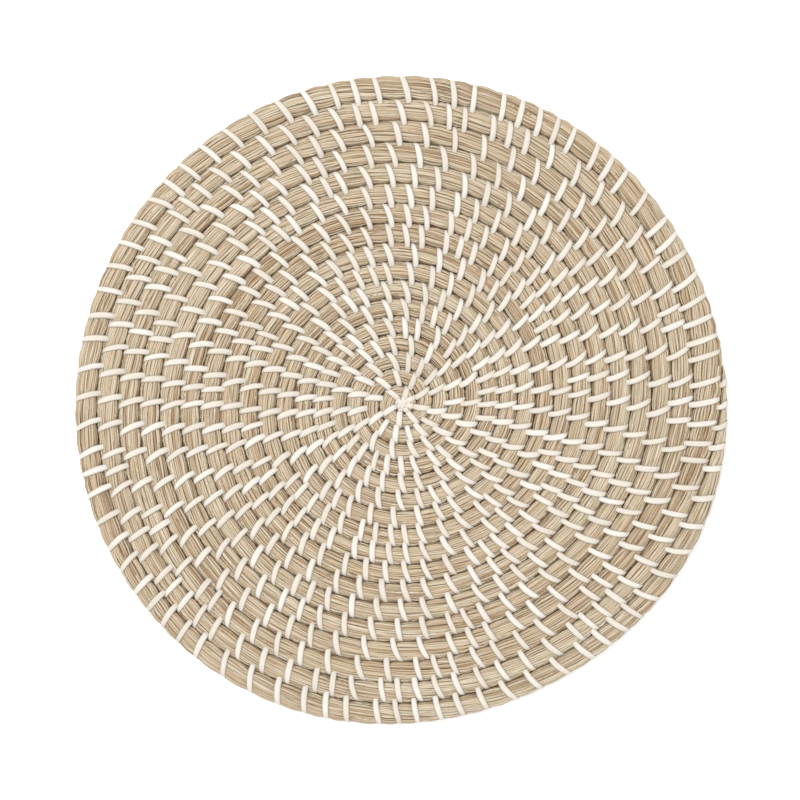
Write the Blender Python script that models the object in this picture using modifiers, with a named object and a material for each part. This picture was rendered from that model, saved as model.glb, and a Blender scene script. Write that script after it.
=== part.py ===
"""Round coiled placemat: one rush bundle wound in a flat spiral, with its tail tapered into the rim.

The mat is one closed solid. Every round of the coil shows as a rib with a flat crown, on top and
underneath, and neighbouring ribs meet in a groove. The outline is as uneven as a hand-sewn one.
"""

import math

import bmesh
import bpy

# Sizes in metres, angles in degrees seen from above, counter-clockwise from +X.
THICKNESS = 0.009
GROOVE_DEPTH = 0.0026

# The coil starts at the middle and winds counter-clockwise as it goes outward.
TURNS = 17.975
START_ANGLE = 20.0
STEPS_PER_TURN = 40
PITCH = 0.00901
PITCH_GROWTH = 0.000104

# Across a round, the crown is flat between these shares of the width.
CROWN_START = 0.27
CROWN_END = 0.73
FULL_WIDTH = 0.0075

# The rim's half-round edge: its haunch lies this far inside the outline.
RIM_RADIUS = 0.1901
HAUNCH_INSET = 0.0012
TAIL_TURNS = 0.19
TAIL_SWEEP = 4.5

# The outer rounds stand out on one side, over the tail's end. Angle and reach in degrees.
BULGE = 0.0039
BULGE_ANGLE = 40.0
BULGE_REACH = 38.0
BULGE_GROWTH = 6

# A hand-wound coil is a little out of round. Columns: lobes around a turn, height, angle of a peak.
COIL_LOBES = (
    (1, 0.0046, 119.0),
    (2, 0.0015, 38.0),
    (3, 0.0009, -11.0),
)
RIM_LOBES = (
    (1, 0.0017, 136.0),
    (2, 0.0009, 28.0),
    (3, 0.0013, -17.0),
    (4, 0.0006, -26.0),
    (5, 0.0004, -25.0),
)

WELD = 0.00001
RUSH_COLOUR = (0.46, 0.33, 0.19, 1.0)
RUSH_ROUGHNESS = 0.85

TOP = THICKNESS / 2
GROOVE_HEIGHT = TOP - GROOVE_DEPTH
RIM_START = TURNS - 1


def clear_scene():
    for item in list(bpy.data.objects):
        bpy.data.objects.remove(item, do_unlink=True)


def angle_at(turn):
    """Angle of the coil after so many turns, in radians."""
    return math.radians(START_ANGLE) + math.tau * turn


def lobes_at(angle, lobes):
    """How far the lobes push a round outward at this angle."""
    return sum(
        height * math.cos(count * (angle - math.radians(peak)))
        for count, height, peak in lobes
    )


def rim_radius(turn):
    """Radius of the mat's outline."""
    return RIM_RADIUS + lobes_at(angle_at(turn), RIM_LOBES)


def bulge_at(turn):
    """How far a round stands out on the side of the tail's end."""
    aside = (math.degrees(angle_at(turn)) - BULGE_ANGLE + 180) % 360 - 180
    return BULGE * (turn / TURNS) ** BULGE_GROWTH * math.exp(-((aside / BULGE_REACH) ** 2))


def groove_radius(turn):
    """Radius of the line where a round meets the one outside it, zero up to the coil's start."""
    if turn <= 0:
        return 0.0
    wander = lobes_at(angle_at(turn), COIL_LOBES) * turn / TURNS + bulge_at(turn)
    plain = PITCH * turn + PITCH_GROWTH * turn**2 + wander
    swing = max(0.0, (turn - RIM_START + TAIL_TURNS) / TAIL_TURNS) ** TAIL_SWEEP
    haunch = rim_radius(turn) - HAUNCH_INSET
    return plain + min(swing, 1.0) * (haunch - plain)


def outer_radius(turn):
    """Outer side of a round: a groove, or the rim's haunch on the last turn."""
    if turn < RIM_START:
        return groove_radius(turn)
    return rim_radius(turn) - HAUNCH_INSET


def crown_height(width):
    """Half-thickness of a round, which falls to the groove's where the round narrows to nothing."""
    fullness = math.sqrt(min(1.0, width / FULL_WIDTH))
    return GROOVE_HEIGHT + GROOVE_DEPTH * fullness


def section(turn):
    """Radius and height of the points across one round, from its inner groove to its outer side."""
    inner = groove_radius(turn - 1)
    outer = outer_radius(turn)
    width = outer - inner
    crown = crown_height(width)
    return (
        (inner, GROOVE_HEIGHT),
        (inner + CROWN_START * width, crown),
        (inner + CROWN_END * width, crown),
        (outer, GROOVE_HEIGHT),
    )


def place_row(points, turn, profile):
    """Moves a row of points to a profile's radii and heights at this turn's angle."""
    angle = angle_at(turn)
    for point, (radius, height) in zip(points, profile):
        point.co = (radius * math.cos(angle), radius * math.sin(angle), height)


def add_grid(mesh, columns, rows):
    """A new flat grid in the mesh, as rows of points in order."""
    made = bmesh.ops.create_grid(mesh, x_segments=columns - 1, y_segments=rows - 1, size=1.0)
    points = sorted(made["verts"], key=lambda point: (round(point.co.y, 6), point.co.x))
    return [points[row * columns:(row + 1) * columns] for row in range(rows)]


def add_coil(mesh):
    """The upper side of the whole coil, as one strip wound from the middle to the tail."""
    steps = round(TURNS * STEPS_PER_TURN)
    for step, points in enumerate(add_grid(mesh, 4, steps + 1)):
        turn = step / STEPS_PER_TURN
        place_row(points, turn, section(turn))


def add_rim(mesh):
    """The rim's edge, from the haunch down to the mat's middle plane."""
    for step, points in enumerate(add_grid(mesh, 2, STEPS_PER_TURN + 1)):
        turn = RIM_START + step / STEPS_PER_TURN
        profile = ((outer_radius(turn), GROOVE_HEIGHT), (rim_radius(turn), 0.0))
        place_row(points, turn, profile)


def centre_on_origin(mesh):
    """Puts the middle of the outline over the origin."""
    across = [point.co.x for point in mesh.verts]
    along = [point.co.y for point in mesh.verts]
    middle = ((min(across) + max(across)) / 2, (min(along) + max(along)) / 2)
    for point in mesh.verts:
        point.co.x -= middle[0]
        point.co.y -= middle[1]


def coil_mesh():
    """Upper half of the mat, open at its middle plane."""
    mesh = bmesh.new()
    add_coil(mesh)
    add_rim(mesh)
    bmesh.ops.remove_doubles(mesh, verts=mesh.verts, dist=WELD)
    bmesh.ops.triangulate(mesh, faces=mesh.faces)
    bmesh.ops.recalc_face_normals(mesh, faces=mesh.faces)
    centre_on_origin(mesh)
    if sum(face.normal.z for face in mesh.faces) < 0:
        bmesh.ops.reverse_faces(mesh, faces=mesh.faces)
    half = bpy.data.meshes.new("coil")
    mesh.to_mesh(half)
    mesh.free()
    return half


def rush_material():
    material = bpy.data.materials.new("rush")
    material.use_nodes = True
    shader = material.node_tree.nodes["Principled BSDF"]
    shader.inputs["Base Color"].default_value = RUSH_COLOUR
    shader.inputs["Roughness"].default_value = RUSH_ROUGHNESS
    shader.inputs["Metallic"].default_value = 0.0
    return material


def build_mat():
    """The mat, lying with its lower crowns on the ground plane."""
    half = coil_mesh()
    half.materials.append(rush_material())
    mat = bpy.data.objects.new("coiled_mat", half)
    mat.location.z = TOP
    collection = bpy.data.collections.new("placemat")
    bpy.context.scene.collection.children.link(collection)
    collection.objects.link(mat)
    mirror = mat.modifiers.new("underside", "MIRROR")
    mirror.use_axis = (False, False, True)
    mirror.use_mirror_merge = True
    mirror.merge_threshold = WELD
    return mat


def main():
    clear_scene()
    build_mat()


main()
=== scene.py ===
# %% [markdown]
# # A round placemat of coiled rush
# This lesson dresses a plain flat solid as the real thing: a thick bundle of rush stems, wound in a
# flat spiral from the middle to the rim and sewn together with a pale strip. The solid gives the
# size and the spiral. Here come the stems, the core inside them, the sewing and its knot, a few
# loose fibres, their finishes, and a plain studio seen from straight above.

# %% The frame
import math
import random

import bmesh
import bpy
import numpy as np
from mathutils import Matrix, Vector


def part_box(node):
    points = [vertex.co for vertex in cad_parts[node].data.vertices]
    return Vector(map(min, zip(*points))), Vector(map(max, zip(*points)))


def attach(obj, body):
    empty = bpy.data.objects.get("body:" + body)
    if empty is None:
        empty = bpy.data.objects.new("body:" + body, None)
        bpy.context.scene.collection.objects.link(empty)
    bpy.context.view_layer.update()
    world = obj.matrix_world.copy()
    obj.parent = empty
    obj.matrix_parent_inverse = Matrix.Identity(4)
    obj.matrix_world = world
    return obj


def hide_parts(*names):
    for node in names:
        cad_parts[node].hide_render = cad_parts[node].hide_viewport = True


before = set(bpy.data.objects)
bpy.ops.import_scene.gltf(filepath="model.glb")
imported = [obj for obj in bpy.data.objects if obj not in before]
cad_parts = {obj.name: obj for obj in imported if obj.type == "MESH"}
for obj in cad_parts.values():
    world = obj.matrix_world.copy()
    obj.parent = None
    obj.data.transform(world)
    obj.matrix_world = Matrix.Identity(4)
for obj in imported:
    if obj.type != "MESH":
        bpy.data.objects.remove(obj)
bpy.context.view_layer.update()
MAT_LOW, MAT_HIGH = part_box("coiled_mat")
print("solid:", [round(side * 1000, 1) for side in MAT_HIGH - MAT_LOW], "mm")

# %% [markdown]
# ## The spiral
# A coil's round lies between two grooves. The groove's radius grows by one pitch a turn, and a hand
# winds a little out of round, so a few slow lobes push it in and out. The last turn ends at the rim,
# where the round before it swings out to meet the outline and the tail narrows to nothing. One could
# draw this as a long list of points, but a formula stays exact for every stem and every stitch.

# %% The spiral's sizes
# Sizes in metres, angles in degrees seen from above, counter-clockwise from +X.
MM = 0.001
TURNS = 17.975
START_ANGLE = 20.0
PITCH = 9.01 * MM
PITCH_GROWTH = 0.104 * MM
RIM_RADIUS = 190.1 * MM
TAIL_TURNS = 0.19
TAIL_SWEEP = 4.5
RIM_START = TURNS - 1
# Columns: lobes around a turn, height, angle of a peak.
COIL_LOBES = (
    (1, 4.6 * MM, 119.0),
    (2, 1.5 * MM, 38.0),
    (3, 0.9 * MM, -11.0),
)
RIM_LOBES = (
    (1, 1.7 * MM, 136.0),
    (2, 0.9 * MM, 28.0),
    (3, 1.3 * MM, -17.0),
    (4, 0.6 * MM, -26.0),
    (5, 0.4 * MM, -25.0),
)
# The outer rounds stand out on one side, over the tail's end.
BULGE = 3.9 * MM
BULGE_ANGLE = 40.0
BULGE_REACH = 38.0
BULGE_GROWTH = 6
STRIP_THICKNESS = 0.8 * MM


def angle_at(turn):
    """Angle of the coil after so many turns, in radians."""
    return math.radians(START_ANGLE) + math.tau * turn


def lobes_at(angle, lobes):
    """How far the lobes push a round outward at this angle."""
    return sum(
        height * np.cos(count * (angle - math.radians(peak)))
        for count, height, peak in lobes
    )


def rim_radius(turn):
    """Radius of the mat's outline."""
    return RIM_RADIUS + lobes_at(angle_at(turn), RIM_LOBES)


def edge_radius(turn):
    """Outer side of the bundle on the last turn, which leaves room for the strip around it."""
    return rim_radius(turn) - STRIP_THICKNESS / 2


def bulge_at(turn):
    """How far a round stands out on the side of the tail's end."""
    aside = (np.degrees(angle_at(turn)) - BULGE_ANGLE + 180) % 360 - 180
    return BULGE * (turn / TURNS) ** BULGE_GROWTH * np.exp(-((aside / BULGE_REACH) ** 2))


def groove_radius(turn):
    """Radius of the line where a round meets the one outside it, zero up to the coil's start."""
    turn = np.asarray(turn, float)
    wander = lobes_at(angle_at(turn), COIL_LOBES) * turn / TURNS + bulge_at(turn)
    plain = PITCH * turn + PITCH_GROWTH * turn**2 + wander
    swing = np.clip((turn - RIM_START + TAIL_TURNS) / TAIL_TURNS, 0.0, 1.0) ** TAIL_SWEEP
    return np.where(turn > 0, plain + swing * (edge_radius(turn) - plain), 0.0)


def outer_radius(turn):
    """Outer side of a round: a groove, or the rim on the last turn."""
    return np.where(turn < RIM_START, groove_radius(turn), edge_radius(turn))


last_turn = np.linspace(RIM_START, TURNS, 720)
last_angle = angle_at(last_turn)
outline = rim_radius(last_turn) * np.array([np.cos(last_angle), np.sin(last_angle)])
COIL_CENTRE = -(outline.min(axis=1) + outline.max(axis=1)) / 2
print("the coil starts at", np.round(COIL_CENTRE / MM, 1), "mm from the outline's middle")

# %% [markdown]
# ## Where the stitches go
# The maker sews as the coil grows. Each new stitch goes into the round inside it just beside an
# older stitch, so stitches line up in chains that fan out from the middle. As the rounds get
# longer the chains drift apart, and where a gap is too wide an extra stitch starts a new chain.
# The same rule, run with a fixed seed, gives the same uneven, hand-sewn fan every time.

# %% The chain rule
# Gaps are counted in wanted spacings, drift in turns.
STITCH_SEED = 3
FIRST_STITCH_TURN = 0.30
FIRST_TURN_STITCHES = 8.5
CHAIN_DRIFT = 0.5 / 360
CHAIN_JITTER = 0.05
EVENING = 0.3
SPLIT_GAP = 1.42
TRIPLE_GAP = 2.4
SKIP_GAP = 0.55
LAST_STITCH_TURN = TURNS - 0.01
SPACING_TURNS = (0.0, 8.0, 13.0, 15.5, 16.2, 18.0)
SPACING = (10.6, 11.6, 12.8, 14.4, 13.9, 14.6)


def wanted_spacing(turn):
    """How far apart the maker likes the stitches to be, a little closer over the last rounds."""
    return float(np.interp(turn, SPACING_TURNS, SPACING)) * MM


def middle_radius(turn):
    """Radius of the bundle's middle line."""
    return float(groove_radius(turn) + groove_radius(turn - 1)) / 2


def stitch_places():
    """The turn at which each stitch starts, from the middle to the tail."""
    rnd = random.Random(STITCH_SEED)
    places = [
        FIRST_STITCH_TURN + count / FIRST_TURN_STITCHES
        for count in range(math.floor(FIRST_TURN_STITCHES))
    ]
    elder = 0
    while places[-1] < TURNS:
        turn = places[elder] + 1 - CHAIN_DRIFT
        elder += 1
        round_length = math.tau * middle_radius(turn)
        gap = (turn - places[-1]) * round_length / wanted_spacing(turn)
        if gap < SKIP_GAP:
            continue
        if gap > SPLIT_GAP:
            start = places[-1]
            parts = 2 if gap < TRIPLE_GAP else 3
            for part in range(1, parts):
                share = part / parts + rnd.uniform(-CHAIN_JITTER, CHAIN_JITTER)
                places.append(start + share * (turn - start))
        else:
            even = places[-1] + wanted_spacing(turn) / round_length
            turn += EVENING * (even - turn)
            turn += rnd.uniform(-CHAIN_JITTER, CHAIN_JITTER) * wanted_spacing(turn) / round_length
        places.append(turn)
    return [place for place in places if place < LAST_STITCH_TURN]


STITCHES = np.array(stitch_places())
print(len(STITCHES), "stitches,", int((STITCHES > RIM_START).sum()), "of them on the last turn")

# %% [markdown]
# ## The bundle's shape
# Between stitches the bundle swells like a small pillow, and each stitch draws it in. So every point
# of the bundle is given by two numbers. The first is its place along the coil, counted in stitches.
# The second is its place around the bundle, from 0 at the inner edge, over the top, to 0.5 at the
# outer edge, and back underneath to 1. A stitch leans as it crosses, so the pinch leans with it.

# %% Places along and around the bundle
BUNDLE_HALF_HEIGHT = 4.45 * MM
MIDDLE_HEIGHT = (MAT_LOW.z + MAT_HIGH.z) / 2
FULL_WIDTH = 7.5 * MM
LEAST_WIDTH = 0.2 * MM
WIDTH_PER_HEIGHT = 1.3
SQUARENESS = 0.74
SWELL = 1.08
EDGE_SWELL = 1.02
LEAN = 0.32
LEAN_CURVE = 1.5
PINCH_WIDTH = 0.13
PINCH_HEIGHT = 0.17
PINCH_POWER = 1.4
DENT = 0.9 * MM
DENT_PLACE = -0.13
DENT_REACH = 0.13


def turn_at(place):
    """Turn of a place along the coil that is counted in stitches."""
    count = np.arange(-3, len(STITCHES) + 3)
    first_step = STITCHES[1] - STITCHES[0]
    last_step = STITCHES[-1] - STITCHES[-2]
    before = STITCHES[0] - first_step * np.array([3, 2, 1])
    after = STITCHES[-1] + last_step * np.array([1, 2, 3])
    return np.interp(place, count, np.concatenate([before, STITCHES, after]))


def place_at(turn):
    """Place in stitches of a turn, the other way round."""
    return np.interp(turn, STITCHES, np.arange(len(STITCHES)))


def bundle_size(turn):
    """Middle radius, half-width and half-height of the bundle."""
    inner = groove_radius(turn - 1)
    outer = outer_radius(turn)
    half_width = np.maximum(outer - inner, LEAST_WIDTH) / 2
    fullness = np.sqrt(np.clip(2 * half_width / FULL_WIDTH, 0.0, 1.0))
    return (inner + outer) / 2, half_width, BUNDLE_HALF_HEIGHT * fullness


def lean_at(around):
    """How many stitches further along a stitch has got by this place around the bundle."""
    over = LEAN * (np.minimum(around, 0.5) / 0.5) ** LEAN_CURVE
    under = LEAN + (1 - LEAN) * (around - 0.5) / 0.5
    return np.where(around < 0.5, over, under)


def pinch_at(place, around):
    """One under a stitch and zero halfway between two."""
    wave = 0.5 + 0.5 * np.cos(math.tau * (place - lean_at(around)))
    return wave**PINCH_POWER


def dent_at(turn, angle):
    """How far a round is pressed in beside the hole of each stitch of the round outside it."""
    outside = place_at(turn + 1)
    beside = outside - np.round(outside - DENT_PLACE) - DENT_PLACE
    outer_side = np.clip(np.cos(angle), 0.0, 1.0)
    sewn = turn < TURNS - 1
    return np.where(sewn, DENT * outer_side * np.exp(-((beside / DENT_REACH) ** 2)), 0.0)


def oval_point(half_width, half_height, angle):
    """A point of the bundle's rounded section and the outward direction there."""
    c, s = np.cos(angle), np.sin(angle)
    across = half_width * np.sign(c) * np.abs(c) ** SQUARENESS
    up = half_height * np.sign(s) * np.abs(s) ** SQUARENESS
    out_across = np.sign(c) * np.abs(c) ** (2 - SQUARENESS) / half_width
    out_up = np.sign(s) * np.abs(s) ** (2 - SQUARENESS) / half_height
    length = np.hypot(out_across, out_up)
    return across, up, out_across / length, out_up / length


def oval_table():
    """Angle in the section for each place around the bundle, evened out along its surface."""
    angles = np.linspace(math.pi, -math.pi, 721)
    across, up, _, _ = oval_point(WIDTH_PER_HEIGHT, 1.0, angles)
    run = np.concatenate([[0.0], np.cumsum(np.hypot(np.diff(across), np.diff(up)))])
    return run / run[-1], angles


OVAL_AROUND, OVAL_ANGLES = oval_table()


def wound(turn, across, up):
    """Points in the mat of a place in the section: across is outward from the bundle's middle."""
    radius = bundle_size(turn)[0] + across
    angle = angle_at(turn)
    return np.stack(
        [
            COIL_CENTRE[0] + radius * np.cos(angle),
            COIL_CENTRE[1] + radius * np.sin(angle),
            MIDDLE_HEIGHT + up + 0 * radius,
        ],
        axis=-1,
    )


def directed(turn, across, up):
    """Directions in the mat of directions in the section."""
    angle = angle_at(turn)
    return np.stack([across * np.cos(angle), across * np.sin(angle), up + 0 * angle], axis=-1)


# %% [markdown]
# ## A straight tube to start from
# Stems, core, sewing, knot and loose fibres are all long thin closed bodies. Each is modelled once
# as a straight tube: a cylinder primitive on its side, whose long edges are subdivided in edit mode.
# The copies then get their own points, wound into place. A Curve modifier could bend them too, but
# it couldn't pinch them under every stitch.

# %% Modelling a tube and joining its copies
def straight_tube(sides, steps):
    """Points and faces of a closed tube along X from 0 to 1, with a radius of 1."""
    bpy.ops.object.select_all(action="DESELECT")
    bpy.ops.mesh.primitive_cylinder_add(
        vertices=sides, radius=1, depth=1, location=(0.5, 0, 0), rotation=(0, math.pi / 2, 0)
    )
    tube = bpy.context.object
    bpy.ops.object.transform_apply(location=True, rotation=True, scale=True)
    bpy.ops.object.mode_set(mode="EDIT")
    bpy.ops.mesh.select_mode(type="EDGE")
    bpy.ops.mesh.select_all(action="DESELECT")
    edit = bmesh.from_edit_mesh(tube.data)
    for edge in edit.edges:
        edge.select_set(abs(edge.verts[0].co.x - edge.verts[1].co.x) > 0.5)
    bmesh.update_edit_mesh(tube.data)
    bpy.ops.mesh.subdivide(number_cuts=steps - 1)
    bpy.ops.object.mode_set(mode="OBJECT")
    points = np.array([vertex.co for vertex in tube.data.vertices])
    faces = [tuple(face.vertices) for face in tube.data.polygons]
    bpy.data.objects.remove(tube, do_unlink=True)
    return points, faces


def joined_copies(name, faces, copies):
    """One smooth mesh of many copies. A copy is its points, its tone, and its points when straight."""
    points, tones, straight_points = zip(*copies)
    size = len(points[0])
    all_faces = [
        tuple(corner + number * size for corner in face)
        for number in range(len(copies))
        for face in faces
    ]
    mesh = bpy.data.meshes.new(name)
    mesh.from_pydata(np.concatenate(points).tolist(), [], all_faces)
    mesh.shade_smooth()
    tone = mesh.attributes.new("tone", "FLOAT", "POINT")
    tone.data.foreach_set("value", np.repeat(tones, size))
    straight = mesh.attributes.new("straight", "FLOAT_VECTOR", "POINT")
    straight.data.foreach_set("vector", np.concatenate(straight_points).ravel())
    piece = bpy.data.objects.new(name, mesh)
    bpy.context.scene.collection.objects.link(piece)
    triangles = sum(len(face) - 2 for face in faces) * len(copies)
    print(f"{name}: {len(copies)} copies, {triangles} triangles")
    return piece


# Columns: length in stitches, share.
WAVES = ((2.7, 0.2), (4.9, 0.3), (8.9, 0.25), (19.0, 0.25))


def wobble(seed, place):
    """A slow smooth wander between about -1 and 1 along the coil."""
    rnd = random.Random(seed)
    return sum(
        share * np.sin(math.tau * place / length + rnd.uniform(0, math.tau))
        for length, share in WAVES
    )


# %% [markdown]
# ## The stems
# Dried rush stems lie side by side around the bundle, flattened and a little crossed. They overlap,
# so that 1.1 to 1.5 mm of each shows. The bundle starts with fewer and takes in more as it thickens,
# and the tail sheds them again. Each stem keeps to a slot around the bundle. The slots share out the
# bundle's surface by weight, so a stem that joins or leaves pushes its neighbours aside, and all of
# them twist slowly round the bundle. A slot is filled by one stem after another, with their ends
# tucked inside.

# %% Sharing out the bundle's surface
# Places, and lengths of stems and fibres, are counted in stitches.
SLOTS = 34
SLOT_ORDER_STEP = 7
STEMS_AT_START = 20.0
STEMS_AT_RIM = 33.0
TWIST = 0.03
WANDER = 0.7
WIDTH_SPREAD = 0.25
WIDTH_WAVE_STRETCH = 0.6
WIDTH_SEED = 100
TAIL_FULL_WIDTH = 10 * MM
TAIL_LEAST_SHARE = 0.12
# The weights are worked out at four places to a stitch. Stems lie between the first and last place.
GRID = np.arange(-2.0, len(STITCHES) + 2.0, 0.25)
FIRST_PLACE = -0.8
LAST_PLACE = float(place_at(TURNS)) + 0.9


def wanted_stems(place):
    """How many stems the bundle holds here."""
    turn = turn_at(place)
    whole = STEMS_AT_START + (STEMS_AT_RIM - STEMS_AT_START) * turn / TURNS
    width = 2 * bundle_size(turn)[1]
    tail = np.clip(width / TAIL_FULL_WIDTH, TAIL_LEAST_SHARE, 1.0)
    return whole * np.where(turn > RIM_START, tail, 1.0)


def slot_weights():
    """Weight of each slot along the coil, zero where its stem isn't there."""
    wanted = wanted_stems(GRID)
    rows = []
    for slot in range(SLOTS):
        rank = slot * SLOT_ORDER_STEP % SLOTS
        present = np.clip(wanted - rank, 0.0, 1.0)
        wave = wobble(WIDTH_SEED + slot, GRID * WIDTH_WAVE_STRETCH)
        rows.append(present * (1 + WIDTH_SPREAD * wave))
    return np.array(rows)


WEIGHTS = slot_weights()
TOTAL_WEIGHT = WEIGHTS.sum(axis=0)
SLOT_MIDDLES = (np.cumsum(WEIGHTS, axis=0) - WEIGHTS / 2) / TOTAL_WEIGHT
print("stems around the bundle at the most:", round(float(TOTAL_WEIGHT.max()), 1))

# %% Winding the stems
STEM_SEED = 11
STEM_SIDES = 3
STEM_STEPS = 100
SHORTEST_STEM = 21.0
LONGEST_STEM = 30.0
FIRST_STEM_SHARE = (0.3, 1.0)
TIGHT_TURNS = (0.0, 5.0)
TIGHT_SHARE = 0.4
# A slot's last stem takes up a rest shorter than this.
SHORTEST_REST = 4.0
LEAST_ROOM = 3.0
OVERLAP = 1.4
LEAST_WEIGHT = 0.04
STEM_FLATNESS = 0.5
STEM_CROWDING = 1.7
STEM_TUCK = 0.9 * MM
DEPTH_WANDER = 0.14 * MM
LONE_STEM_LIMIT = 0.95 * MM
STEM_END_SHARE = 0.25
STEM_PINCH = 0.05
LEAST_DEPTH_SHARE = 0.15
# The rim side of the last round, as a share of the way around the bundle.
RIM_SIDE = (0.25, 0.75)
# A stitch's length on the straight shape that the finish reads, and how far apart stems lie there.
GRAIN_LENGTH = 13 * MM
GRAIN_SPREAD = 50
STEM_POINTS, STEM_FACES = straight_tube(STEM_SIDES, STEM_STEPS)


def stem_copy(slot, start, end, seed):
    """Points of one stem, which lies in its slot from one place along the coil to another."""
    rnd = random.Random(seed)
    place = start + STEM_POINTS[:, 0] * (end - start)
    roll = rnd.uniform(0, math.tau)
    side = STEM_POINTS[:, 1] * math.cos(roll) - STEM_POINTS[:, 2] * math.sin(roll)
    out = STEM_POINTS[:, 1] * math.sin(roll) + STEM_POINTS[:, 2] * math.cos(roll)
    weight = np.interp(place, GRID, WEIGHTS[slot])
    total = np.interp(place, GRID, TOTAL_WEIGHT)
    middle = np.interp(place, GRID, SLOT_MIDDLES[slot])
    drift = WANDER / total * wobble(seed, place)
    around = (middle + TWIST * place + drift) % 1.0
    turn = turn_at(place)
    _, half_width, half_height = bundle_size(turn)
    pinch = pinch_at(place, around)
    at_edge = (turn > RIM_START) & (around > RIM_SIDE[0]) & (around < RIM_SIDE[1])
    half_width = half_width * (np.where(at_edge, EDGE_SWELL, SWELL) - PINCH_WIDTH * pinch)
    half_height = half_height * (1 - PINCH_HEIGHT * pinch)
    girth = math.tau * np.sqrt((half_width**2 + half_height**2) / 2)
    end_taper = np.clip(np.minimum(place - start, end - place), 0.0, 1.0)
    size = np.minimum(STEM_CROWDING * girth * weight / total / 2, LONE_STEM_LIMIT)
    size = size * (STEM_END_SHARE + (1 - STEM_END_SHARE) * np.sqrt(end_taper))
    size = size * (1 - STEM_PINCH * pinch)
    thickness = STEM_FLATNESS * size
    depth = thickness + DEPTH_WANDER * (1 + wobble(seed + 1, place)) + STEM_TUCK * (1 - end_taper)
    angle = np.interp(around, OVAL_AROUND, OVAL_ANGLES)
    across, up, out_across, out_up = oval_point(
        np.maximum(half_width - depth, LEAST_DEPTH_SHARE * half_width),
        np.maximum(half_height - depth, LEAST_DEPTH_SHARE * half_height),
        angle,
    )
    across = across + out * thickness * out_across - side * size * out_up - dent_at(turn, angle)
    up = up + out * thickness * out_up + side * size * out_across
    grain_place = place * GRAIN_LENGTH + rnd.uniform(0, GRAIN_SPREAD)
    grain = np.stack([grain_place, side, out + rnd.uniform(0, GRAIN_SPREAD)], axis=-1)
    return wound(turn, across, up), rnd.random(), grain


def stem_length(place, rnd):
    """How many stitches long a stem is, shorter in the tight turns near the middle."""
    share = np.interp(turn_at(place), TIGHT_TURNS, (TIGHT_SHARE, 1.0))
    return share * rnd.uniform(SHORTEST_STEM, LONGEST_STEM)


def stem_copies():
    """Every stem, slot by slot, each with the place where it starts."""
    rnd = random.Random(STEM_SEED)
    stems = []
    for slot in range(SLOTS):
        there = GRID[WEIGHTS[slot] > LEAST_WEIGHT]
        if len(there) == 0:
            continue
        start = max(float(there.min()), FIRST_PLACE)
        finish = min(float(there.max()), LAST_PLACE)
        length = rnd.uniform(*FIRST_STEM_SHARE) * stem_length(start, rnd)
        while start < finish - LEAST_ROOM:
            end = min(start + length, finish)
            if finish - end < SHORTEST_REST:
                end = finish
            stems.append((start, stem_copy(slot, start, end, rnd.randrange(10**6))))
            start = end - OVERLAP
            length = stem_length(start, rnd)
    return stems


stems = stem_copies()
# Columns: name of the piece, and the turn before which its stems start.
STEM_PIECES = (
    ("stems_middle", 9.9),
    ("stems_inner", 12.9),
    ("stems_outer", 15.3),
    ("stems_rim", 99.0),
)
stem_pieces = []
from_turn = -9.0
for name, to_turn in STEM_PIECES:
    own = [copy for start, copy in stems if from_turn <= float(turn_at(start)) < to_turn]
    stem_pieces.append(joined_copies(name, STEM_FACES, own))
    from_turn = to_turn

# %% [markdown]
# ## The core
# Inside the outer stems the real bundle is packed with more of them. They only show as dark lines
# between the outer ones, so one plain tube fills the inside and keeps light from passing through. Its
# brown is a darker rush tone than most stems: partly the packed stems' own colour, partly painted
# shade that deepens those lines.

# %% Winding the core
CORE_WIDTH = 1.03
CORE_EDGE_WIDTH = 0.86
CORE_HEIGHT = 0.82
CORE_SIDES = 8
CORE_STEPS = 100
CORE_PART = 50.0
CORE_OVERLAP = 0.7
CORE_START = -0.5
CORE_END = LAST_PLACE - 2.2
CORE_POINTS, CORE_FACES = straight_tube(CORE_SIDES, CORE_STEPS)


def core_copy(start):
    """Points of one stretch of the core."""
    end = min(start + CORE_PART, CORE_END)
    place = start + CORE_POINTS[:, 0] * (end - start)
    turn = turn_at(place)
    _, half_width, half_height = bundle_size(turn)
    out, rise = CORE_POINTS[:, 1], -CORE_POINTS[:, 2]
    around = 0.5 - np.arctan2(rise, out) / math.tau
    pinch = pinch_at(place, around % 1.0)
    at_edge = (turn > RIM_START) & (out > 0)
    share = np.where(at_edge, CORE_EDGE_WIDTH, CORE_WIDTH)
    across = share * half_width * out
    up = CORE_HEIGHT * half_height * (1 - PINCH_HEIGHT * pinch) * rise
    return wound(turn, across, up), 0.5, CORE_POINTS


core_starts = np.arange(CORE_START, CORE_END - SHORTEST_REST, CORE_PART - CORE_OVERLAP)
core = joined_copies("core", CORE_FACES, [core_copy(start) for start in core_starts])

# %% [markdown]
# ## The sewing
# One long flat strip does the sewing. Each wrap comes up through the edge of the round inside, leans
# over the top of the bundle, turns round its outer side, and comes back underneath to the next hole.
# One wrap has fewer than a hundred faces, because there are hundreds of them. It is the same tube,
# flattened to a lens, with a ring at each step of the path below.

# %% Sewing the rounds together
STRIP_SEED = 29
STRIP_SIDES = 6
HOLE_DEPTH = 3.0 * MM
FULL_DEPTH_RADIUS = 24 * MM
HOLE_RISE = 3.75 * MM
STRIP_LIFT = 0.30 * MM
LEAN_SPREAD = 0.12
# The first rounds are sewn with straighter stitches.
STRAIGHT_TURNS = (0.5, 3.5)
STRAIGHT_LEAN = 0.25
# Past each hole the strip runs this far on inside the round, where the next wrap takes it up.
HOLE_RUN = 0.02
HOLE_SLANT = 0.97
HOLE_TURN = 1.2 * MM
HOLE_ARCH = 0.25 * MM
HOLE_TILTS = np.radians((150.0, 112.0, -112.0, -150.0))
HOLE_RISE_LIMIT = 0.8
STRIP_WIDTH_RANGE = (0.9, 1.08)
STRIP_GRAIN_LENGTH = 30 * MM
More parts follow.
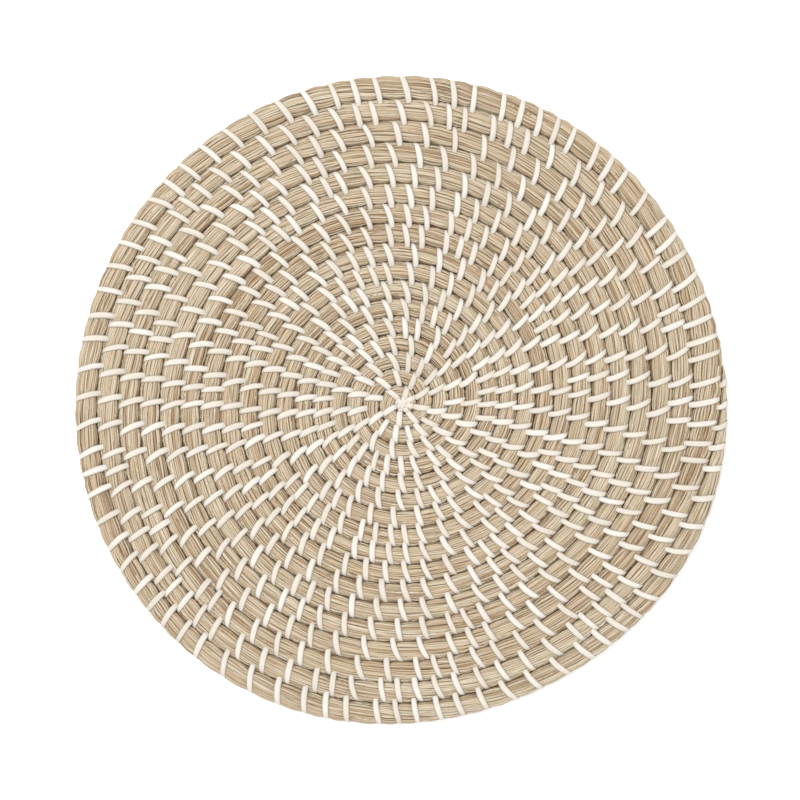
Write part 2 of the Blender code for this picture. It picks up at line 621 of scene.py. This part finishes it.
# Angles in the section of the rings between the two holes, and each ring's half-width.
STRIP_ANGLES = np.radians((128.0, 104.0, 80.0, 56.0, 32.0, 4.0, -40.0, -90.0, -140.0))
STRIP_HALF_WIDTHS = MM * np.array(
    (1.1, 1.65, 1.95, 1.9, 1.8, 1.6, 1.35, 1.0, 0.8, 1.2, 1.3, 1.3, 0.9)
)
STRIP_STEPS = len(STRIP_HALF_WIDTHS) - 1
STRIP_POINTS, STRIP_FACES = straight_tube(STRIP_SIDES, STRIP_STEPS)
STRIP_RING = np.rint(STRIP_POINTS[:, 0] * STRIP_STEPS).astype(int)


def strip_path(number, rnd):
    """The rings' middles and outward directions of one wrap."""
    straightened = np.interp(STITCHES[number], STRAIGHT_TURNS, (STRAIGHT_LEAN, 1.0))
    lean = straightened * (1 + rnd.uniform(-LEAN_SPREAD, LEAN_SPREAD) / LEAN)
    around = np.interp(-STRIP_ANGLES, -OVAL_ANGLES, OVAL_AROUND)
    shift = np.where(around < 0.5, lean * lean_at(around), lean_at(around))
    place = number + np.concatenate([[-HOLE_RUN, 0.0], shift, [1.0, 1.0 + HOLE_RUN]])
    turn = turn_at(place)
    _, half_width, half_height = bundle_size(turn)
    snug_width = half_width[2:-2] * (1 - PINCH_WIDTH) + STRIP_LIFT
    snug_height = half_height[2:-2] * (1 - PINCH_HEIGHT) + STRIP_LIFT
    across, up, out_across, out_up = oval_point(snug_width, snug_height, STRIP_ANGLES)
    inner = groove_radius(turn - 1)
    hole = HOLE_DEPTH * np.clip(inner / FULL_DEPTH_RADIUS, 0.0, 1.0)
    rise = np.minimum(HOLE_RISE, HOLE_RISE_LIMIT * half_height)
    into = -half_width - hole
    into[[1, -2]] *= HOLE_SLANT
    across = np.concatenate([into[:2], across, into[-2:]])
    entry = [rise[0] - HOLE_TURN, rise[1] + HOLE_ARCH]
    leaving = [-rise[-2] - HOLE_ARCH, -rise[-1] + HOLE_TURN]
    up = np.concatenate([entry, up, leaving])
    tilt_across, tilt_up = np.cos(HOLE_TILTS), np.sin(HOLE_TILTS)
    out_across = np.concatenate([tilt_across[:2], out_across, tilt_across[2:]])
    out_up = np.concatenate([tilt_up[:2], out_up, tilt_up[2:]])
    return wound(turn, across, up), directed(turn, out_across, out_up)


def strip_copy(number, rnd):
    """Points of one wrap of the sewing strip."""
    path, outward = strip_path(number, rnd)
    along = np.gradient(path, axis=0)
    along /= np.linalg.norm(along, axis=1)[:, None]
    across = np.cross(outward, along)
    across /= np.linalg.norm(across, axis=1)[:, None]
    outward = np.cross(along, across)
    width = STRIP_HALF_WIDTHS * rnd.uniform(*STRIP_WIDTH_RANGE)
    side, out = STRIP_POINTS[:, 1], STRIP_POINTS[:, 2]
    points = (
        path[STRIP_RING]
        + across[STRIP_RING] * (side * width[STRIP_RING])[:, None]
        + outward[STRIP_RING] * (out * STRIP_THICKNESS / 2)[:, None]
    )
    grain = np.stack([STRIP_POINTS[:, 0] * STRIP_GRAIN_LENGTH + number, side, out], axis=-1)
    return points, rnd.random(), grain


strip_rnd = random.Random(STRIP_SEED)
sewing = joined_copies(
    "sewing",
    STRIP_FACES,
    [strip_copy(number, strip_rnd) for number in range(len(STITCHES))],
)

# %% [markdown]
# ## The knot in the middle
# The sewing starts with a few tight crossings of the same strip, which show as a small pale star.

# %% Crossing the strip over the middle
KNOT_STRAPS = 4
KNOT_REACH = 4.6 * MM
KNOT_HALF_WIDTH = 1.6 * MM
KNOT_RISE = 4.40 * MM
KNOT_FALL = 2.4 * MM
KNOT_OFFSET = 0.5 * MM
KNOT_STACK = 0.05 * MM
KNOT_TAPER = 0.5
KNOT_TWIST = 0.2
KNOT_TONES = (0.5, 1.0)
KNOT_GRAIN = np.array([10 * MM, 1, 1])
KNOT_POINTS, KNOT_FACES = straight_tube(STRIP_SIDES, 8)


def knot_copy(number, rnd):
    """Points of one strap of the knot, which bows over the middle of the coil."""
    run = 2 * KNOT_POINTS[:, 0] - 1
    way = math.pi * (number + rnd.uniform(-KNOT_TWIST, KNOT_TWIST)) / KNOT_STRAPS
    out = KNOT_REACH * run
    half_width = KNOT_HALF_WIDTH * (1 - KNOT_TAPER * run**2)
    side = KNOT_OFFSET * rnd.uniform(-1, 1) + half_width * KNOT_POINTS[:, 1]
    rise = MIDDLE_HEIGHT + KNOT_RISE + KNOT_STACK * number - KNOT_FALL * run**4
    place = np.stack(
        [
            COIL_CENTRE[0] + out * math.cos(way) - side * math.sin(way),
            COIL_CENTRE[1] + out * math.sin(way) + side * math.cos(way),
            rise + STRIP_THICKNESS / 2 * KNOT_POINTS[:, 2],
        ],
        axis=-1,
    )
    return place, rnd.uniform(*KNOT_TONES), KNOT_POINTS * KNOT_GRAIN


knot = joined_copies(
    "knot", KNOT_FACES, [knot_copy(number, strip_rnd) for number in range(KNOT_STRAPS)]
)

# %% [markdown]
# ## Loose fibres
# A few thin fibres have worked free of the stems. They lie on the bundle at a slight angle, lifted a
# little in the middle, with both ends tucked back in. Beside the tail a whole pale stem has slipped
# out of its place, and crosses two stitches at a slant.

# %% Laying the loose fibres
FIBRE_SEED = 41
FIBRE_COUNT = 170
FIBRE_SHORTEST = 0.6
FIBRE_LONGEST = 2.0
FIBRE_HALF_WIDTH = 0.26 * MM
FIBRE_LIFT = 0.45 * MM
FIBRE_UPWARD = 0.5
FIBRE_TUCK = 0.5 * MM
FIBRE_THICKNESS_RANGE = (0.7, 1.3)
FIBRE_MARGIN = 6
FIBRE_AROUND = (0.10, 0.36)
FIBRE_SLANT = (-0.09, 0.12)
FIBRE_GRAIN_LENGTH = 20 * MM
FIBRE_POINTS, FIBRE_FACES = straight_tube(4, 10)
FIBRE_ALONG, FIBRE_SIDE, FIBRE_OUT = FIBRE_POINTS.T
SLIPPED_STEM_TURNS = (16.932, 16.963)
SLIPPED_STEM_AROUND = (0.28, 0.395)
SLIPPED_STEM_HALF_WIDTH = 0.8 * MM


def laid_fibre(place, around, size, flatness):
    """Points of one fibre that lies on the bundle along these places."""
    turn = turn_at(place)
    _, half_width, half_height = bundle_size(turn)
    pinch = pinch_at(place, around)
    bow = np.sqrt(np.clip(np.sin(math.pi * FIBRE_ALONG), 0.0, 1.0))
    lift = (FIBRE_LIFT + FIBRE_TUCK) * bow * (1 - pinch) - FIBRE_TUCK
    across, up, out_across, out_up = oval_point(
        half_width * (1 - PINCH_WIDTH * pinch) + lift,
        half_height * (1 - PINCH_HEIGHT * pinch) + FIBRE_UPWARD * lift,
        np.interp(around, OVAL_AROUND, OVAL_ANGLES),
    )
    side, out = size * FIBRE_SIDE, flatness * size * FIBRE_OUT
    across = across + out * out_across - side * out_up
    up = up + out * out_up + side * out_across
    return wound(turn, across, up)


def fibre_copy(rnd):
    """One thin loose fibre, anywhere on the mat."""
    start = rnd.uniform(FIBRE_MARGIN, len(STITCHES) - FIBRE_MARGIN)
    place = start + FIBRE_ALONG * rnd.uniform(FIBRE_SHORTEST, FIBRE_LONGEST)
    around = rnd.uniform(*FIBRE_AROUND) + FIBRE_ALONG * rnd.uniform(*FIBRE_SLANT)
    size = FIBRE_HALF_WIDTH * rnd.uniform(*FIBRE_THICKNESS_RANGE)
    grain_place = FIBRE_ALONG * FIBRE_GRAIN_LENGTH + rnd.uniform(0, GRAIN_SPREAD)
    grain = np.stack([grain_place, FIBRE_SIDE, FIBRE_OUT], axis=-1)
    return laid_fibre(place, around, size, 1.0), rnd.random(), grain


def slipped_stem():
    """The pale stem beside the tail."""
    ends = [0.0, 1.0]
    place = np.interp(FIBRE_ALONG, ends, place_at(np.array(SLIPPED_STEM_TURNS)))
    around = np.interp(FIBRE_ALONG, ends, SLIPPED_STEM_AROUND)
    points = laid_fibre(place, around, SLIPPED_STEM_HALF_WIDTH, STEM_FLATNESS)
    return points, 1.0, FIBRE_POINTS * np.array([FIBRE_GRAIN_LENGTH, 1, 1])


fibre_rnd = random.Random(FIBRE_SEED)
loose_fibres = joined_copies(
    "loose_fibres",
    FIBRE_FACES,
    [fibre_copy(fibre_rnd) for _ in range(FIBRE_COUNT)] + [slipped_stem()],
)

# %% [markdown]
# ## Finishes
# Rush dries to many tones, from cream through straw and tan to brown and olive, and each stem is
# streaked along its length. Every stem carries its own tone and its straight shape as attributes, so
# one material colours them all and its grain follows each stem round the coil. The strip is a
# smoother, paler peel of the same kind.

# %% Building the materials
# Columns: place on the ramp, colour.
RUSH_TONES = (
    (0.00, (0.261, 0.177, 0.103)),
    (0.12, (0.334, 0.246, 0.154)),
    (0.30, (0.383, 0.296, 0.194)),
    (0.50, (0.413, 0.327, 0.225)),
    (0.72, (0.431, 0.352, 0.251)),
    (0.86, (0.451, 0.377, 0.277)),
    (0.93, (0.359, 0.312, 0.204)),
    (1.00, (0.479, 0.413, 0.316)),
)
STRIP_TONES = (
    (0.0, (0.473, 0.425, 0.362)),
    (0.5, (0.497, 0.453, 0.393)),
    (1.0, (0.522, 0.491, 0.441)),
)
# The core's brown: partly the packed stems' own rush tone, partly painted shade, darker than most
# stems so the lines between the outer stems read darker.
CORE_TONE_AND_SHADE = (0.38, 0.27, 0.16)
SPECULAR = 0.3
NOISE_ROUGHNESS = 0.55
# Blotches move a stem's tone up and down along it.
BLOTCH_SCALE = (45.0, 0.15, 0.15)
BLOTCH_NOISE = (0.3, 0.7)
BLOTCH_SHIFT = 0.2
STREAK_NOISE = (0.32, 0.68)
STREAK_HEIGHT = 0.12 * MM


def new_material(name, roughness):
    """A material with its shader, and a helper that adds nodes to it."""
    material = bpy.data.materials.new(name)
    material.use_nodes = True
    shader = material.node_tree.nodes["Principled BSDF"]
    shader.inputs["Roughness"].default_value = roughness
    shader.inputs["Specular IOR Level"].default_value = SPECULAR

    def add(kind, **values):
        """A new node with these attributes and inputs set."""
        node = material.node_tree.nodes.new(kind)
        for key, value in values.items():
            if hasattr(node, key):
                setattr(node, key, value)
            else:
                node.inputs[key.replace("_", " ")].default_value = value
        return node

    return material, shader, add


def link(material, source, target):
    """Joins two sockets of the material's nodes."""
    material.node_tree.links.new(source, target)


def grain_noise(material, add, scale, detail):
    """Noise stretched along a stem, read on the stem's straight shape."""
    straight = add("ShaderNodeAttribute", attribute_name="straight")
    stretch = add("ShaderNodeMapping", Scale=scale)
    noise = add("ShaderNodeTexNoise", Scale=1.0, Detail=detail, Roughness=NOISE_ROUGHNESS)
    link(material, straight.outputs["Vector"], stretch.inputs["Vector"])
    link(material, stretch.outputs["Vector"], noise.inputs["Vector"])
    return noise.outputs["Fac"]


def ramp(add, tones):
    """A colour ramp through these tones."""
    node = add("ShaderNodeValToRGB")
    steps = node.color_ramp.elements
    while len(steps) < len(tones):
        steps.new(0.5)
    for step, (place, colour) in zip(steps, tones):
        step.position = place
        step.color = (*colour, 1.0)
    return node


def ranged(add, source_range, middle, swing):
    """A node that spreads this range of a value evenly around a middle."""
    return add(
        "ShaderNodeMapRange",
        From_Min=source_range[0],
        From_Max=source_range[1],
        To_Min=middle - swing,
        To_Max=middle + swing,
    )


def fibre_material(name, tones, roughness, streak, bump, fine):
    """Toned stems or strips with lighter and darker streaks along them, raised a little."""
    material, shader, add = new_material(name, roughness)
    tone = add("ShaderNodeAttribute", attribute_name="tone")
    blotches = grain_noise(material, add, BLOTCH_SCALE, 1.0)
    shift = ranged(add, BLOTCH_NOISE, 0.0, BLOTCH_SHIFT)
    mixed = add("ShaderNodeMath", operation="ADD", use_clamp=True)
    colours = ramp(add, tones)
    link(material, blotches, shift.inputs["Value"])
    link(material, tone.outputs["Fac"], mixed.inputs[0])
    link(material, shift.outputs["Result"], mixed.inputs[1])
    link(material, mixed.outputs["Value"], colours.inputs["Fac"])
    streaks = grain_noise(material, add, fine, 3.0)
    level = ranged(add, STREAK_NOISE, 1.0, streak)
    shaded = add("ShaderNodeVectorMath", operation="SCALE")
    link(material, streaks, level.inputs["Value"])
    link(material, colours.outputs["Color"], shaded.inputs[0])
    link(material, level.outputs["Result"], shaded.inputs["Scale"])
    link(material, shaded.outputs["Vector"], shader.inputs["Base Color"])
    relief = add("ShaderNodeBump", Strength=bump, Distance=STREAK_HEIGHT)
    link(material, streaks, relief.inputs["Height"])
    link(material, relief.outputs["Normal"], shader.inputs["Normal"])
    return material


rush = fibre_material(
    "dried rush", RUSH_TONES, roughness=0.65, streak=0.13, bump=0.4, fine=(60.0, 2.0, 2.0)
)
strip = fibre_material(
    "pale strip", STRIP_TONES, roughness=0.55, streak=0.09, bump=0.6, fine=(45.0, 3.2, 3.2)
)
inside, inside_shader, _ = new_material("packed core and painted shade", roughness=0.9)
inside_shader.inputs["Base Color"].default_value = (*CORE_TONE_AND_SHADE, 1.0)

# %% Putting the finishes on and fixing the pieces to the frame
for piece in [*stem_pieces, loose_fibres]:
    piece.data.materials.append(rush)
core.data.materials.append(inside)
for piece in (sewing, knot):
    piece.data.materials.append(strip)
for piece in [*stem_pieces, core, sewing, knot, loose_fibres]:
    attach(piece, "root")
    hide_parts("coiled_mat")

# %% [markdown]
# ## The studio
# The mat lies on a plain pale table under a soft even light, and the camera looks straight down with
# a long lens, so that the mat fills most of a square picture.

# %% Table, light and camera
TABLE_SIZE = 6.0
TABLE_COLOUR = (0.9, 0.9, 0.9)
PICTURE_WIDTH = 0.4648
LENS = 100.0
SENSOR = 36.0
SIDE_STEP = 0.6 * MM
SKY_STRENGTH = 1.14

bpy.ops.object.select_all(action="DESELECT")
bpy.ops.mesh.primitive_plane_add(size=TABLE_SIZE, location=(0, 0, MAT_LOW.z))
table = bpy.context.object
table.name = "table"
table_finish, table_shader, _ = new_material("plain table", roughness=0.8)
table_shader.inputs["Base Color"].default_value = (*TABLE_COLOUR, 1.0)
table.data.materials.append(table_finish)

world = bpy.data.worlds.new("studio")
world.use_nodes = True
world.node_tree.nodes["Background"].inputs["Color"].default_value = (1.0, 1.0, 1.0, 1.0)
world.node_tree.nodes["Background"].inputs["Strength"].default_value = SKY_STRENGTH
bpy.context.scene.world = world
bpy.context.scene.view_settings.view_transform = "Standard"


def soft_light(name, place, size, power):
    """A square soft light that faces the middle of the mat."""
    light = bpy.data.lights.new(name, "AREA")
    light.size = size
    light.energy = power
    lamp = bpy.data.objects.new(name, light)
    bpy.context.scene.collection.objects.link(lamp)
    lamp.location = place
    lamp.rotation_euler = (-lamp.location).to_track_quat("-Z", "Y").to_euler()


soft_light("key", (-0.8, 0.8, 2.0), size=1.3, power=42.0)
soft_light("fill", (1.1, -1.1, 2.0), size=1.8, power=14.0)

camera = bpy.data.objects.new("camera", bpy.data.cameras.new("camera"))
camera.data.lens = LENS
camera.data.sensor_width = SENSOR
camera.location = (-SIDE_STEP, 0.0, MAT_HIGH.z + PICTURE_WIDTH * LENS / SENSOR)
bpy.context.scene.collection.objects.link(camera)
bpy.context.scene.camera = camera
